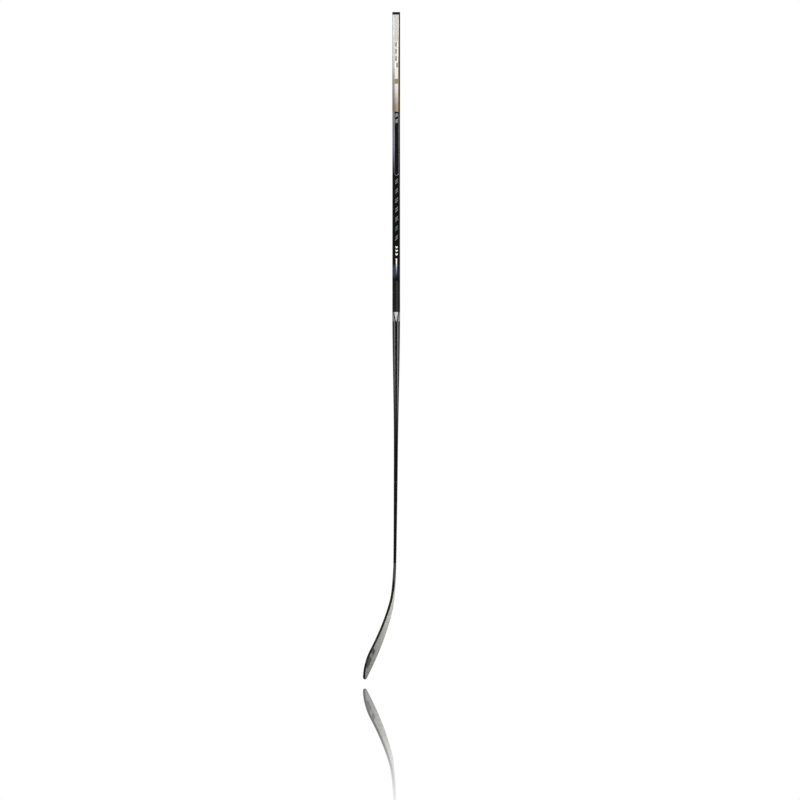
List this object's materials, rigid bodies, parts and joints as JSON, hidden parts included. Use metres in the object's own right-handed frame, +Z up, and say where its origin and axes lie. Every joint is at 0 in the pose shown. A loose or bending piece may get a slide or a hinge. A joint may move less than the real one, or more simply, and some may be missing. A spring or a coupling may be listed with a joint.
{
  "type": "ice hockey stick",
  "caption": "One-piece composite ice hockey stick, senior size, left-shot: end cap, long tapered faceted shaft, fused hosel and curved foam-cored blade with black edges.",
  "frame": {"origin": "middle of the butt end's flat top, on the shaft's axis", "axes": "+Z up the shaft, out of the butt end; the shaft runs down -Z; +Y is the shaft's back narrow face and the blade points to -Y as it falls; +X is the backhand side and the blade curves to -X, the forehand side"},
  "size_m": [0.095, 0.2273, 1.7073],
  "materials": {
    "butt_plastic": "matte moulded black rubbery plastic",
    "shaft_lacquer": "gloss clear coat over black carbon, with a silver and gold painted grip end and a silver facet at the taper",
    "silver_lacquer": "satin silver paint under clear coat, turning gold downwards",
    "hosel_lacquer": "satin clear coat over black carbon",
    "blade_laminate": "grey painted carbon laminate with a faint diagonal weave",
    "edge_resin": "smooth black resin",
    "tenon_composite": "raw carbon with glue marks",
    "core_foam": "closed-cell foam",
    "bridge_carbon": "raw carbon",
    "insert_resin": "short-fibre moulding compound",
    "damper_rubber": "soft elastomer"
  },
  "bodies": {
    "root": {"end_cap": "butt_plastic", "shaft_tube": "shaft_lacquer", "hosel_sleeve": "hosel_lacquer", "joint_tenon": "tenon_composite", "forehand_skin": "blade_laminate", "backhand_skin": "blade_laminate", "top_edge_rail": "edge_resin", "bottom_edge_rail": "edge_resin", "heel_insert": "insert_resin", "damping_strip": "damper_rubber", "upper_core": "core_foam", "lower_core": "core_foam", "core_bridge": "bridge_carbon", "toe_insert": "insert_resin"}
  },
  "joints": []
}
